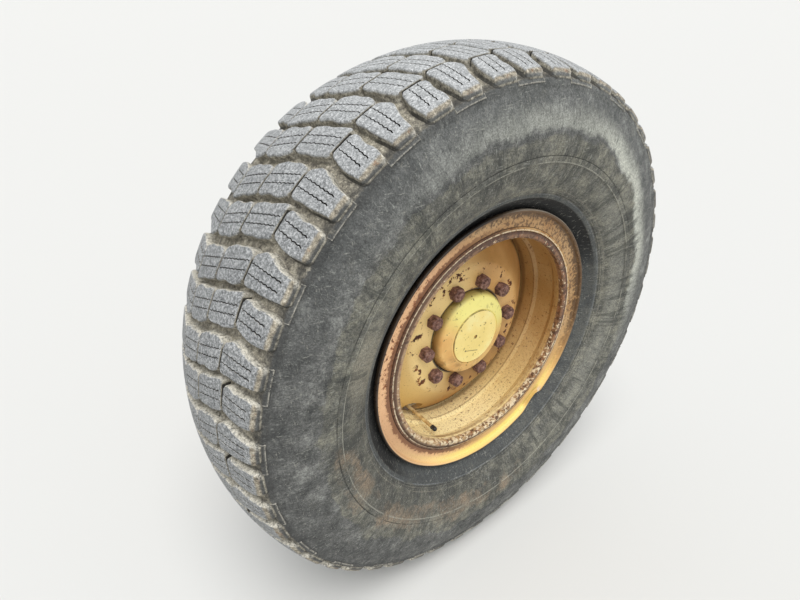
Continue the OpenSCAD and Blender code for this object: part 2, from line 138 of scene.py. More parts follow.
class Value:
    """A node's output. Sums and products of values are math nodes."""

    def __init__(self, graph, socket):
        self.graph = graph
        self.socket = socket

    def __add__(self, other):
        return self.graph.math("ADD", self, other)

    def __sub__(self, other):
        return self.graph.math("SUBTRACT", self, other)

    def __rsub__(self, other):
        return self.graph.math("SUBTRACT", other, self)

    def __mul__(self, other):
        return self.graph.math("MULTIPLY", self, other)

    def __truediv__(self, other):
        return self.graph.math("DIVIDE", self, other)

    def step(self, low, high):
        """Rises smoothly from 0 to 1 as the value goes from low to high."""
        inputs = {"Value": self, "From Min": low, "From Max": high}
        return self.graph.value("ShaderNodeMapRange", inputs, interpolation_type="SMOOTHSTEP")

    def band(self, low, high, soft):
        """1 between low and high, falling off over soft on both sides."""
        return self.step(low - soft, low + soft) * self.step(high + soft, high - soft)

    def ramp(self, stops):
        """The colours of the stops, as (position, colour), blended along the value."""
        node = self.graph.tree.nodes.new("ShaderNodeValToRGB")
        ramp = node.color_ramp
        while len(ramp.elements) < len(stops):
            ramp.elements.new(0.5)
        for element, (position, code) in zip(ramp.elements, stops):
            element.position = position
            element.color = linear(code)
        self.graph.feed(node.inputs[0], self)
        return Value(self.graph, node.outputs[0])

    def tones(self, *codes):
        """Three colours of old paint or rust, blended along the value."""
        return self.ramp(list(zip((0.34, 0.5, 0.66), codes)))

    def tint(self, mask, part, code):
        """This colour under another one, where the mask is 1, as strong as the part says."""
        return self.graph.mix(mask * part, self, linear(code))


class Graph:
    """The node graph of one material, with short calls for the nodes used here."""

    def __init__(self, name):
        self.material = bpy.data.materials.new(name)
        self.material.use_nodes = True
        self.tree = self.material.node_tree
        self.tree.nodes.clear()
        self.shader = self.tree.nodes.new("ShaderNodeBsdfPrincipled")
        out = self.tree.nodes.new("ShaderNodeOutputMaterial")
        self.tree.links.new(self.shader.outputs[0], out.inputs[0])
        self.place = self.value("ShaderNodeTexCoord", {}, "Object")

    def feed(self, socket, value):
        if isinstance(value, Value):
            self.tree.links.new(value.socket, socket)
        else:
            socket.default_value = value

    def value(self, kind, inputs, output=0, **settings):
        """One output of a new node, with its settings and its inputs by title or number."""
        node = self.tree.nodes.new(kind)
        for name, setting in settings.items():
            setattr(node, name, setting)
        for title, source in inputs.items():
            self.feed(node.inputs[title], source)
        return Value(self, node.outputs[output])

    def math(self, operation, a, b=0.0, clamp=False):
        return self.value("ShaderNodeMath", {0: a, 1: b}, operation=operation, use_clamp=clamp)

    def cloud(self, place, scale, detail, roughness):
        inputs = {"Vector": place, "Scale": scale, "Detail": detail, "Roughness": roughness}
        return self.value("ShaderNodeTexNoise", inputs, "Fac")

    def noise(self, scale, detail=5.0, roughness=0.6, stretch=(1, 1, 1), shift=0.0):
        inputs = {"Vector": self.place, "Location": (shift, shift * 0.7, -shift), "Scale": stretch}
        return self.cloud(self.value("ShaderNodeMapping", inputs), scale, detail, roughness)

    def mix(self, factor, a, b, blend="MIX"):
        return self.value("ShaderNodeMix", {0: factor, 6: a, 7: b}, 2, data_type="RGBA", blend_type=blend)

    def axes(self):
        split = self.tree.nodes.new("ShaderNodeSeparateXYZ")
        self.feed(split.inputs[0], self.place)
        return [Value(self, socket) for socket in split.outputs]

    def polar(self):
        """Radius and station in metres, and how far forward and up the direction points."""
        x, y, z = self.axes()
        radius = self.math("SQRT", x * x + z * z)
        return radius, y - WHEEL_Y, x / radius, z / radius

    def attribute(self, name):
        return self.value("ShaderNodeAttribute", {}, "Fac", attribute_name=name)

    def rays(self, radius, fore, rise, reach, scale, detail, roughness, shift=0.0):
        """Noise in streaks that run out from the axle: a smaller reach makes them longer."""
        inputs = {"X": fore * 0.55, "Y": radius * reach + shift, "Z": rise * 0.55}
        return self.cloud(self.value("ShaderNodeCombineXYZ", inputs), scale, detail, roughness)

    def stroke(self, start, end, width):
        """1 on a straight mark between two places, given forward and up from the axle in metres."""
        run = Vector(end) - Vector(start)
        way = run.normalized()
        x, _, z = self.axes()
        x = x - start[0]
        z = z - start[1]
        along = x * way.x + z * way.y
        across = x * way.y - z * way.x
        inside = along.band(0.0, run.length, width / 2)
        return inside * self.math("ABSOLUTE", across).step(width, width * 0.5)

    def spots(self, scale, amount, soft=0.04, detail=7.0, shift=0.0, stretch=(1, 1, 1)):
        """Ragged spots: an amount of 0 gives none, 0.5 covers half."""
        cloud = self.noise(scale, detail, 0.62, stretch, shift)
        edge = 0.76 - amount * 0.52
        return cloud.step(edge, edge + soft)

    def finish(self, colour, roughness, height=None, strength=0.3, distance=0.001, metallic=0.0):
        self.feed(self.shader.inputs["Base Color"], colour)
        self.feed(self.shader.inputs["Roughness"], roughness)
        self.feed(self.shader.inputs["Metallic"], metallic)
        if height is not None:
            inputs = {"Strength": strength, "Distance": distance, "Height": height}
            self.feed(self.shader.inputs["Normal"], self.value("ShaderNodeBump", inputs))
        return self.material


def rust_colour(graph):
    return graph.noise(55, 6).ramp([(0.32, "2a1b16"), (0.5, "54301f"), (0.68, "935629")])


def worn_paint(name, tones, rust, grime, seed):
    """Old paint on steel: cloudy tones, brown specks and film, and rust spots with dark hearts."""
    graph = Graph(name)
    colour = graph.noise(7, 5, 0.55, shift=seed).tones(*tones)
    speck = graph.spots(90, 0.22, 0.05, shift=seed + 3)
    colour = colour.tint(speck, 0.45, "7a4a22")
    film = graph.spots(14, grime, 0.3, shift=seed + 5)
    colour = colour.tint(film, 0.6, "5e4630")
    halo = graph.spots(26, rust + 0.08, 0.08, shift=seed + 9)
    colour = colour.tint(halo, 0.6, "8c4f22")
    heart = graph.spots(26, rust, 0.03, shift=seed + 9)
    colour = graph.mix(heart, colour, rust_colour(graph))
    return graph, colour, heart


def finish_paint(graph, colour, heart, gloss=0.42):
    """Rougher and pitted where the heart of the rust is."""
    rough = graph.math("ADD", heart * 0.4, gloss, clamp=True)
    rough = graph.math("ADD", rough, graph.noise(30, 4) * 0.18, clamp=True)
    grain = graph.noise(420, 3) * (heart * 1.2 + 0.12)
    return graph.finish(colour, rough, grain - heart * 0.35, 0.45, 0.0012)


def flange_material():
    """Amber paint: rusty beside the ring in front, painted shade and dark brown patches in the curl
    behind, and painted light, brightest at the bottom.
    """
    graph = Graph("flange_paint_worn")
    radius, station, fore, rise = graph.polar()
    share = radius / FLANGE_R
    cloud = graph.noise(14, 5, 0.6, shift=1)
    colour = cloud.ramp([(0.36, "cd9a62"), (0.5, "deaf76"), (0.64, "eac08a")])
    # Painted light: lighter toward the bottom, where the flange's hollow faces up to the light.
    low = rise.step(-0.1, -0.8)
    colour = colour.tint(low, 0.8, "efc379")
    # Painted highlight: a bright yellow band near the outer edge at the bottom.
    painted_highlight = share.band(0.93, 0.972, 0.02) * rise.step(-0.4, -0.85)
    colour = colour.tint(painted_highlight, 0.85, "ffee84")
    # Painted light: lighter on the front side.
    front = fore.step(0.05, 0.7)
    colour = colour.tint(front, 0.6, "ffcfa2")
    grain = graph.noise(330, 4, 0.7, shift=3)
    colour = colour.tint(grain.step(0.56, 0.68), 0.5, "a06a3c")
    above = front * rise.step(-0.5, 0.1)
    halo = graph.spots(85, above * 0.3 + 0.16, 0.07, shift=17)
    colour = colour.tint(halo, 0.65, "9c5836")
    heart = graph.spots(85, above * 0.24 + 0.1, 0.04, shift=17)
    colour = graph.mix(heart * 0.9, colour, rust_colour(graph))
    ragged = (graph.noise(85, 6, 0.72, shift=43) - 0.5) * 0.1
    edge = share + ragged
    beside = edge.step(0.910, 0.9) * fore.step(-0.1, 0.4)
    colour = colour.tint(beside, 0.88, "55382a")
    stain = edge.step(0.93, 0.9) * fore.step(-0.5, 0.3)
    colour = colour.tint(stain, 0.3, "a9652f")
    # Painted shade: the curl behind and above is darkened all over, where its hollow faces down.
    turn = rise * 0.7 - fore * 0.7
    behind = turn.step(0.0, 0.75)
    colour = colour.tint(behind, 0.45, "7a5a30")
    # Darker brown cover and blotches in the curl behind, toward the outer edge.
    cover = graph.noise(80, 9, 0.82, shift=61)
    outer = (share - 0.955) * 3.4
    dark_cover = (cover + outer).step(0.42, 0.54)
    dark_cover = dark_cover * behind * share.step(0.905, 0.93)
    colour = colour.tint(dark_cover, 0.85, "4d3722")
    blotch = graph.spots(95, behind * 0.54, 0.09, 9.0, shift=53)
    colour = colour.tint(blotch, 0.8, "5c4126")
    brown = fore.step(0.4, 0.85) * rise.step(0.0, -0.4)
    colour = colour.tint(brown, 0.35, "8a5a34")
    bent = fore.band(-0.68, -0.52, 0.03) * rise.step(-0.5, -0.7)
    torn = bent * radius.step(0.322, 0.342)
    colour = colour.tint(torn, 0.6, "a87236")
    steel = bent * radius.band(0.3450, 0.3475, 0.0006)
    colour = colour.tint(steel, 0.8, "cfc6b4")
    # Painted shade: near-black on the outer rim in front, where it sits in the gap by the tyre.
    painted_gap_shade = radius.step(0.3502, 0.3516) * fore.step(-0.2, 0.2)
    colour = colour.tint(painted_gap_shade, 0.95, "0e0c0b")
    lip = radius.step(0.3522, 0.3532) * fore.step(0.1, -0.3)
    colour = colour.tint(lip, 0.75, "a39b8d")
    # Painted shade: dark on the outer rim's back part, next to the tyre.
    back = station.step(0.1395, 0.1365)
    under = back * radius.step(0.3545, 0.3552)
    colour = colour.tint(under, 0.9, "2a221c")
    return finish_paint(graph, colour, heart)


def rim_material():
    """Tan barrel with brown specks, painted light low in it and painted shade at its top and in its
    corners, and a rusty lip on the gutter with flecks of cream.
    """
    graph = Graph("rim_paint_worn")
    radius, station, fore, rise = graph.polar()
    cloud = graph.noise(9, 4, 0.5, shift=11)
    colour = cloud.tones("bb9358", "c8a368", "d4b27b")
    # Painted light: lighter toward the bottom and brightest on the floor in front, where the inside of the
    # barrel faces up to the light.
    low = rise.step(0.0, -0.9)
    colour = colour.tint(low, 0.75, "f0d896")
    floor = (fore * 0.5 - rise).step(0.5, 1.1)
    colour = colour.tint(floor, 0.8, "fff0ba")
    shade = fore.step(-0.4, -0.9) * rise.step(0.0, -0.3)
    colour = colour.tint(shade, 0.35, "a3754a")
    # Painted shade: darker toward the top, where the inside of the barrel faces down.
    high = (rise - fore * 0.5).step(0.0, 1.0)
    colour = colour.tint(high, 0.55, "8a6436")
    grain = graph.noise(300, 4, 0.7, shift=13)
    colour = graph.mix(grain.step(0.54, 0.70), colour, linear("99703f"))
    fleck = graph.spots(170, 0.42, 0.1, shift=64)
    colour = colour.tint(fleck, 0.5, "a26a34")
    heart = graph.spots(110, 0.31, 0.05, shift=14)
    colour = colour.tint(heart, 0.75, "6d4a33")
    edge = station.step(0.088, 0.112)
    dust = graph.spots(75, edge * 0.6, 0.25, shift=90)
    colour = colour.tint(dust, 0.5, "94642f")
    # Painted shade: a dark line where the gutter's bulge meets the barrel, stronger in front.
    line = station.band(0.110, 0.119, 0.003) * cloud.step(0.3, 0.5)
    line = line * (fore * 0.35 + 0.6)
    colour = graph.mix(line, colour, linear("7c4f22"))
    # Painted shade: darker in the corner at the disc's edge and at the barrel's step.
    disc_corner_shade = station.band(0.034, 0.0375, 0.002)
    corner = disc_corner_shade + station.band(-0.008, 0.004, 0.004)
    colour = colour.tint(corner, 0.5, "6f4a26")
    lip = station.step(0.122, 0.128)
    bottom = rise.step(0.0, -0.65)
    colour = colour.tint(lip, 0.85, "7d5c46")
    colour = colour.tint(lip * bottom, 0.4, "d2ac74")
    right = lip * fore.step(-0.25, -0.65)
    colour = colour.tint(right, 0.5, "8a6244")
    left = lip * fore.step(0.2, 0.7)
    colour = colour.tint(left, 0.5, "cfae86")
    dark = graph.spots(78, 0.56 - left * 0.14, 0.1, shift=71)
    colour = colour.tint(lip, dark * 0.85, "4a3024")
    rusty = graph.spots(80, 0.42, 0.1, shift=73)
    colour = colour.tint(lip, rusty * 0.6, "a8714c")
    near = bottom * 0.16 + 0.34
    cream = graph.spots(98, near, 0.04, shift=83, detail=6)
    colour = colour.tint(lip, cream * 0.9, "e8d6b2")
    outside = lip * radius.step(0.292, 0.2965)
    colour = colour.tint(outside, 0.82, "4c3124")
    inner = station.step(-0.03, -0.05)
    colour = colour.tint(inner, 0.5, "7a5c3a")
    return finish_paint(graph, colour, heart)


def disc_material():
    """Amber disc with painted shade low and painted light in front, brown rust beside the nuts, a dark
    line at the weld and a painted shade ring at the hub.
    """
    graph = Graph("disc_paint_worn")
    radius, _, fore, rise = graph.polar()
    colour = graph.noise(10, 4, 0.5, shift=4).tones("cc9a58", "dba966", "e8ba78")
    # Painted shade and light: darker toward the bottom, lighter toward the front and top.
    low = rise.step(0.1, -0.9)
    colour = colour.tint(low, 0.85, "a97c40")
    front = (fore + rise * 0.3).step(-0.2, 0.75)
    colour = colour.tint(front, 0.9, "ffdf96")
    grain = graph.noise(280, 4, 0.7, shift=6)
    colour = graph.mix(grain.step(0.58, 0.74), colour, linear("a97c42"))
    ring = radius.band(0.160, 0.190, 0.01)
    near = radius.band(0.126, 0.2, 0.02)
    amount = ring * 0.17 + near * 0.12
    halo = graph.spots(48, amount + 0.15, 0.06, shift=17, detail=4)
    colour = colour.tint(halo, 0.5, "9a5f2c")
    heart = graph.spots(48, amount + 0.07, 0.025, shift=17, detail=4)
    colour = graph.mix(heart, colour, rust_colour(graph))
    weld = radius.step(0.268, 0.28)
    colour = colour.tint(weld, 0.75, "4c3424")
    # Painted shade: a near-black ring on the disc around the hub cap.
    gap = radius.step(0.1255, 0.1215)
    colour = colour.tint(gap, 0.92, "211811")
    return finish_paint(graph, colour, heart)


def cap_material():
    """Ochre side with painted light in lemon on top, grime low in front, a flat face painted paler as
    painted light, a painted shadow arc at its edge, painted shade at the foot, and a scratch.
    """
    graph = Graph("cap_paint_worn")
    radius, station, fore, rise = graph.polar()
    cloud = graph.noise(16, 5, 0.6, shift=2)
    side = cloud.tones("e3ad62", "eebd70", "f4cb82")
    # Painted light: the side turns pale lemon toward the top, where it faces up to the light.
    painted_top_light = (rise - fore * 0.35).step(-0.1, 0.75)
    side = side.tint(painted_top_light, 0.92, "f9f08e")
    # Painted light: the flat face gets a paler copy of the paint than the side.
    face = cloud.tones("f6dc84", "fde48e", "ffeea2")
    face_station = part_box("hub_cap")[1][1] - WHEEL_Y
    flat = station.step(face_station - 0.003, face_station - 0.0015)
    colour = graph.mix(flat, side, face)
    low = (fore * 0.6 - rise).step(0.1, 1.0)
    grime = graph.spots(30, low * 0.66, 0.3, shift=12)
    shade = grime * (1.0 - flat)
    colour = colour.tint(shade, 0.6, "8d602e")
    # Painted shade: darker at the dome's foot, where it meets the disc.
    foot = radius.step(0.108, 0.117)
    colour = colour.tint(foot, 0.7, "6a4822")
    heart = graph.spots(85, 0.29, 0.04, shift=21)
    colour = colour.tint(heart, 0.75, "6b5a34")
    smear = graph.spots(60, 0.4, 0.1, shift=27) * rise.band(0.55, 0.9, 0.15)
    smear = smear * radius.band(0.078, 0.105, 0.004)
    colour = colour.tint(smear, 0.7, "75683c")
    # Painted shadow: a thin dark arc at the face's edge, on the upper and front side only.
    arc = (fore * 0.7 + rise).step(0.0, 0.8)
    ring = radius.band(0.0735, 0.0752, 0.0007) * arc
    faint = graph.noise(45, 4, shift=33).step(0.3, 0.55)
    colour = colour.tint(ring * faint, 0.85, "5c5030")
    mark = flat * graph.stroke((0.034, -0.031), (-0.010, -0.046), 0.0013)
    dot = flat * graph.stroke((0.036, -0.030), (0.032, -0.032), 0.0032)
    middle = flat * radius.step(0.0062, 0.0046)
    for mask in (mark, dot, middle):
        colour = colour.tint(mask, 0.85, "4c3c1e")
    return finish_paint(graph, colour, heart, 0.38)


def hub_material():
    graph, colour, heart = worn_paint("hub_paint_worn", ("a9843e", "c29c4f", "d3b064"), 0.26, 0.58, 23)
    return finish_paint(graph, colour, heart)


def axle_material():
    """Yellow-ochre axle paint under dust and grease."""
    graph, colour, heart = worn_paint("axle_paint_worn", ("a17a36", "b98f45", "caa158"), 0.28, 0.56, 37)
    dust = graph.spots(16, 0.5, 0.25, shift=44)
    colour = colour.tint(dust, 0.5, "a2957e")
    grease = graph.spots(24, 0.36, 0.16, shift=58)
    colour = colour.tint(grease, 0.7, "41352a")
    return finish_paint(graph, colour, heart, 0.5)


def nut_material():
    """Scaled brown rust with a few paler worn places."""
    graph = Graph("nut_rust")
    colour = graph.noise(110, 7, 0.7, shift=9).tones("3d2b26", "745247", "a98574")
    worn = graph.spots(60, 0.16, 0.14, shift=15)
    colour = colour.tint(worn, 0.6, "b39770")
    height = graph.noise(260, 5) + graph.noise(70, 6, shift=9)
    return graph.finish(colour, worn * -0.2 + 0.86, height, 0.55, 0.0012)


def ring_material():
    """The lock ring: dark rust in front, amber paint left behind, and a pale inner edge, worn and partly a
    painted highlight.
    """
    graph = Graph("ring_rust_worn")
    radius, _, fore, rise = graph.polar()
    colour = graph.noise(120, 7, 0.72, shift=5).tones("3a251a", "5f402d", "8d674a")
    paint_stops = [(0.36, "8a6038"), (0.46, "c2935a"), (0.6, "d9b27a")]
    paint = graph.noise(90, 6, 0.7, shift=8).ramp(paint_stops)
    left = (fore + rise * 0.2).step(0.35, -0.2)
    colour = graph.mix(left * 0.85, colour, paint)
    seam = radius.step(0.3092, 0.3105)
    colour = colour.tint(seam, 0.7, "3b271b")
    # A pale inner edge, partly worn and partly a painted highlight, weaker toward the bottom.
    pale = graph.noise(130, 6, 0.75, shift=9).step(0.4, 0.52)
    top = 1.0 - rise.step(-0.3, -0.8) * 0.7
    worn = radius.band(0.3022, 0.3053, 0.0006) * pale * top
    colour = colour.tint(worn, 0.95, "e6d2b0")
    inner = radius.step(0.3022, 0.3012)
    colour = colour.tint(inner, 0.85, "2e1d14")
    height = graph.noise(260, 5) + graph.noise(70, 6, shift=2)
    rough = worn * -0.3 + 0.82
    return graph.finish(colour, rough, height, 0.55, 0.0012)


def plain_material(name, dark, pale, roughness, metallic=0.0):
    """Small pieces: a colour that varies a little, with a fine grain."""
    graph = Graph(name)
    colour = graph.noise(60, 5).ramp([(0.35, dark), (0.65, pale)])
    rough = graph.noise(42, 4) * 0.25 + roughness - 0.12
    return graph.finish(colour, rough, graph.noise(300, 4), 0.25, 0.0006, metallic)


# Rings moulded in the sidewall: inner and outer radius in metres, colour and strength
WALL_LINES = ((0.4865, 0.4885, "262725", 0.8), (0.4726, 0.4752, "b9b7a8", 0.6),
              (0.3945, 0.3965, "8b8f90", 0.6), (0.3985, 0.4000, "1f2020", 0.7),
              (0.4035, 0.405, "303131", 0.5), (0.4095, 0.411, "9a9484", 0.5))


def wall_colour(graph, radius, fore, rise):
    """The sidewall: worn grey, a pale band of scuffs and painted sheen outside toward the top and rear,
    olive inside with painted light at the rear, mud low, and painted shade low in front and beside the
    flange.
    """
    wave = (graph.noise(11, 7, 0.72, shift=2) - 0.5) * 0.1
    warped = radius + wave
    cloud = graph.noise(18, 9, 0.8)
    colour = cloud.ramp([(0.36, "3f403f"), (0.45, "5d5e5b"), (0.53, "737370"), (0.64, "a0a19b")])
    olive_stops = [(0.36, "45453f"), (0.48, "6d6c62"), (0.6, "a09d8b")]
    inner = graph.noise(24, 9, 0.78, shift=5).ramp(olive_stops)
    colour = graph.mix(warped.step(0.532, 0.522) * 0.75, colour, inner)
    # Painted sheen with scuffs: a pale band along the sidewall's bulge, toward the top and rear.
    ridge = fore.step(-1.05, -0.35) * 0.037 + 0.513
    away = radius + wave * 0.7 - ridge
    band = away.step(-0.013, 0.002) * away.step(0.056, 0.002)
    upper = fore.step(0.75, -0.1) * 0.4
    upper = upper + fore.step(-0.2, -0.7) * 0.6
    sheen_and_scuff_band = band * upper * rise.step(-0.5, 0.4)
    high = rise.step(0.2, 0.8) * warped.step(0.53, 0.56)
    colour = colour.tint(high, 0.3, "6c706f")
    ahead = warped.step(0.555, 0.59) * fore.step(0.1, 0.7)
    colour = colour.tint(ahead, 0.4, "454646")
    colour = colour.tint(sheen_and_scuff_band, 0.92, "dfe0d2")
    warm = warped.step(0.475, 0.455) * rise.band(0.18, 0.5, 0.12)
    warm = warm * fore.step(0.4, 0.8)
    colour = colour.tint(warm, 0.8, "a9a391")
    # Painted light: lighter inside toward the rear.
    behind = fore.step(-0.45, -0.85) * radius.band(0.425, 0.468, 0.006)
    colour = colour.tint(behind, 0.4, "a7a69a")
    shade = warped.step(0.5, 0.46) * (fore - rise).step(0.4, 1.2)
    colour = colour.tint(shade, 0.4, "3c3c39")
    streak = graph.rays(radius, fore, rise, 0.28, 170, 8, 0.85)
    pale = streak.step(0.555 - sheen_and_scuff_band * 0.06, 0.62)
    amount = sheen_and_scuff_band * 0.3 + 0.3
    colour = colour.tint(pale, amount, "dadcd2")
    pits = graph.rays(radius, fore, rise, 0.3, 130, 8, 0.85, 8.0).step(0.47, 0.39)
    colour = colour.tint(pits, 0.55, "2f3130")
    dark = graph.rays(radius, fore, rise, 0.12, 30, 6, 0.7, 3.0).step(0.53, 0.6)
    dark = dark * warped.band(0.41, 0.53, 0.012)
    colour = colour.tint(dark, 0.6, "42443f")
    front_low = (fore * 0.75 - rise).step(0.35, 1.0)
    mud_zone = front_low * warped.band(0.43, 0.51, 0.015)
    mud = graph.spots(14, mud_zone * 0.72, 0.25, shift=15, detail=9)
    fibre = graph.rays(radius, fore, rise, 0.4, 120, 6, 0.75, 14.0).step(0.36, 0.6)
    mud = mud * (fibre * 0.6 + 0.2)
    colour = graph.mix(mud, colour, linear("a8937a"))
    dust = graph.spots(12, 0.36, 0.3, shift=19)
    colour = colour.tint(dust, 0.25, "948d78")
    # Painted shade: darker grey at the bead beside the flange.
    bead = radius.step(0.402, 0.392)
    colour = colour.tint(bead, 0.7, "4c5052")
    for low, high, code, part in WALL_LINES:
        line = radius.band(low, high, 0.0008)
        broken = line * graph.noise(18, 4, shift=low * 90).step(0.36, 0.5)
        colour = colour.tint(broken, part, code)
    # Painted shadow: near-black in the gap beside the flange, on the upper and front side.
    facing = (rise + fore * 0.6).step(-0.4, 0.05)
    gap = radius.step(0.3875, 0.3845) * facing
    return colour.tint(gap, 0.95, "0b0b0b")


def scratches(graph, colour):
    """Thin pale and dark scratches in three directions."""
    kinds = (((1, 1, 9), 4, "b5b5ab"), ((9, 1, 1), 12, "343534"), ((7, 1, 2), 21, "aaa89d"))
    for stretch, shift, code in kinds:
        line = graph.noise(38, 5, 0.65, stretch, shift).step(0.61, 0.66)
        colour = colour.tint(line, 0.5, code)
    return colour


def groove_colour(graph, outward):
    """Grey-beige dust in the grooves, with painted shadow where they open at the shoulder."""
    stops = [(0.36, "48453e"), (0.45, "857f72"), (0.54, "aca593"), (0.64, "dad3bf")]
    colour = graph.noise(80, 8, 0.8).ramp(stops)
    # Painted shadow at the grooves' outer ends.
    mouth = outward.step(0.150, 0.168) * graph.spots(42, 0.92, 0.3, shift=35)
    return colour.tint(mouth, 0.85, "323231")


def flank_colour(graph, wear_and_shade):
    """The blocks' sides: dusty like the grooves, with painted shade toward the foot."""
    stops = [(0.36, "413e38"), (0.45, "827d71"), (0.54, "b0aa99"), (0.64, "e0dac9")]
    colour = graph.noise(95, 8, 0.8, shift=7).ramp(stops)
    # Painted shade toward the foot of the sides.
    low = wear_and_shade.step(0.6, 0.15) * 0.4
    return graph.mix(low, colour, linear("4a4740"))


def top_colour(graph, tone, fore, rise):
    """The blocks' tops: coarse grey grain, a little different on each block, with painted light toward the
    wheel's top and painted shade in front.
    """
    stops = [(0.40, "3a3b3c"), (0.46, "808383"), (0.52, "b8baba"), (0.60, "fdfdfc")]
    grit = graph.noise(200, 5, 0.8).ramp(stops)
    patch = graph.noise(46, 7, 0.7, shift=11).ramp([(0.36, "7f8080"), (0.64, "d2d3d1")])
    colour = graph.mix(0.32, grit, patch)
    colour = colour.tint(tone, 0.22, "8f9190")
    # Painted light on top and painted shade in front.
    colour = colour.tint(rise.step(0.55, 1.0), 0.3, "e4e6e6")
    return colour.tint(fore.step(0.3, 0.9), 0.28, "77797b")


def shoulder_colour(graph, radius, fore, wall):
    """The worn band below a shoulder block's top: tan and gritty, then grey toward the wall, with patches
    of painted shade low in front.
    """
    stops = [(0.38, "5b5446"), (0.46, "958a76"), (0.54, "bcb19b"), (0.62, "e6ddc8")]
    colour = graph.noise(120, 7, 0.82, shift=27).ramp(stops)
    orange = graph.spots(60, 0.36, 0.12, shift=28)
    colour = colour.tint(orange, 0.45, "a9713f")
    grey = radius + graph.noise(60, 5, 0.7, shift=3) * 0.008
    colour = graph.mix(grey.step(0.6525, 0.6465), colour, wall)
    # Painted shade: dark patches low on the front side.
    low = radius.step(0.6505, 0.643) * fore.step(-0.4, 0.3)
    low = low * graph.spots(70, 0.5, 0.2, shift=31)
    return colour.tint(low, 0.5, "3f3e3a")


def tyre_material():
    """Dusty grey rubber: beige grooves, granular block tops, scuffed sidewall; painted shade in sipes,
    narrow gaps and groove mouths, and painted light on top.
    """
    graph = Graph("tyre_rubber_worn")
    radius, station, fore, rise = graph.polar()
    outward = graph.math("ABSOLUTE", station)
    wear_and_shade = graph.attribute("wear_and_shade")
    # The dust value is dust, also a painted highlight on the blocks' rear edges, and painted shade where
    # it is below zero.
    dust = graph.attribute("dust")
    wall = scratches(graph, wall_colour(graph, radius, fore, rise))
    ragged = (graph.noise(90, 5, 0.7, shift=40) - 0.5) * 0.016
    inside_tread = (outward + ragged).step(0.1785, 0.1725)
    inside_tread = inside_tread * radius.step(0.626, 0.634)
    strip = radius.step(0.617, 0.627) * fore.step(-0.3, 0.5)
    wall = wall.tint(strip, 0.5, "3a3a39")
    base = graph.mix(inside_tread, wall, groove_colour(graph, outward))
    flank = wear_and_shade.step(0.06, 0.22) * radius.step(0.630, 0.636)
    base = graph.mix(flank, base, flank_colour(graph, wear_and_shade))
    top = top_colour(graph, graph.attribute("tone"), fore, rise)
    colour = graph.mix(wear_and_shade.step(0.62, 0.86), base, top)
    past = outward + ragged * 0.25
    beyond = past.step(0.1680, 0.1715) * radius.step(0.6375, 0.6395)
    colour = graph.mix(beyond * 0.92, colour, shoulder_colour(graph, radius, fore, wall))
    # Pale fringe: dust on the block edges, on the rear edges also a painted highlight.
    fringe = graph.noise(150, 6, 0.75, shift=29).step(0.40, 0.52)
    fringe = graph.math("MAXIMUM", dust, 0.0) * fringe
    colour = colour.tint(fringe, 0.9, "e6e0d0")
    # Painted shade below the blocks' front faces.
    shade = dust.step(-0.05, -0.7) * 0.75
    colour = graph.mix(shade, colour, linear("242423"))
    # Painted shade: near-black in sipes and narrow gaps, where the wear value is below zero.
    cleft = wear_and_shade.step(-0.1, -0.6)
    colour = colour.tint(cleft, 0.93, "171614")
    fine_stops = [(0.40, "6a6a6a"), (0.5, "c6c6c6"), (0.58, "ffffff")]
    fine = graph.noise(300, 4, 0.75, shift=2).ramp(fine_stops)
    colour = graph.mix(0.55, colour, fine, "MULTIPLY")
    height = graph.noise(200, 7, 0.75) + graph.noise(24, 5) * 0.8
    rough = graph.noise(20, 4) * 0.2 + 0.66
    return graph.finish(colour, rough, height, 0.55, 0.0022)


# The tyre

# Its shape, in millimetres from the axle and from the wheel's centre plane
CROWN_R = 686.8
CROWN_ARC = 450.0
CROWN_EDGE = 169.0
SHOULDER_SLOPE = 1.3
SHOULDER_EDGE = 177.0
BLOCK_LIMIT = 178.0
FLOOR_R = 667.5
FLOOR_ARC = 490.0
BELLY_R = 520.0
BELLY_ARC = 230.0
BELLY_SHIFT = BELLY_ARC - BELLY_HALF / MM
WALL_T = 24.0
# The tread's pattern: how often it repeats, its clock angle, its shifts, and a degree's length on it
PITCH_COUNT = 25
TREAD_CLOCK = 12.5
HALF_SHIFT = -50.6
PATTERN_SHIFT = 6.0
TREAD_R = 687.5
DEGREE_RUN = 2 * math.pi * TREAD_R / 360
# How the blocks are cut and divided, in millimetres
CORNER_CUT = 5
TOP_INSET = 2.3
EDGE_RUN = 9
CREASE_RUN = 6
GRID_RUN = 9
# The sipes: widths at both ends in millimetres, teeth, depth, and how they end inside the block
SHOULDER_SIPE = (3.0, 1.8)
CENTRE_SIPE = (2.1, 2.1)
TOOTH_RUN = 5.2
SIPE_DEPTH = 9
SIPE_MARGIN = 0.9
SIPE_SHORTENING = 0.4
# How far the wear value is lowered in a narrow gap, so that it gets painted shade as a dark cleft
CLEFT = 1.5
# Sides of the round pieces
CASING_SIDES = 300
FLANGE_SIDES = 480

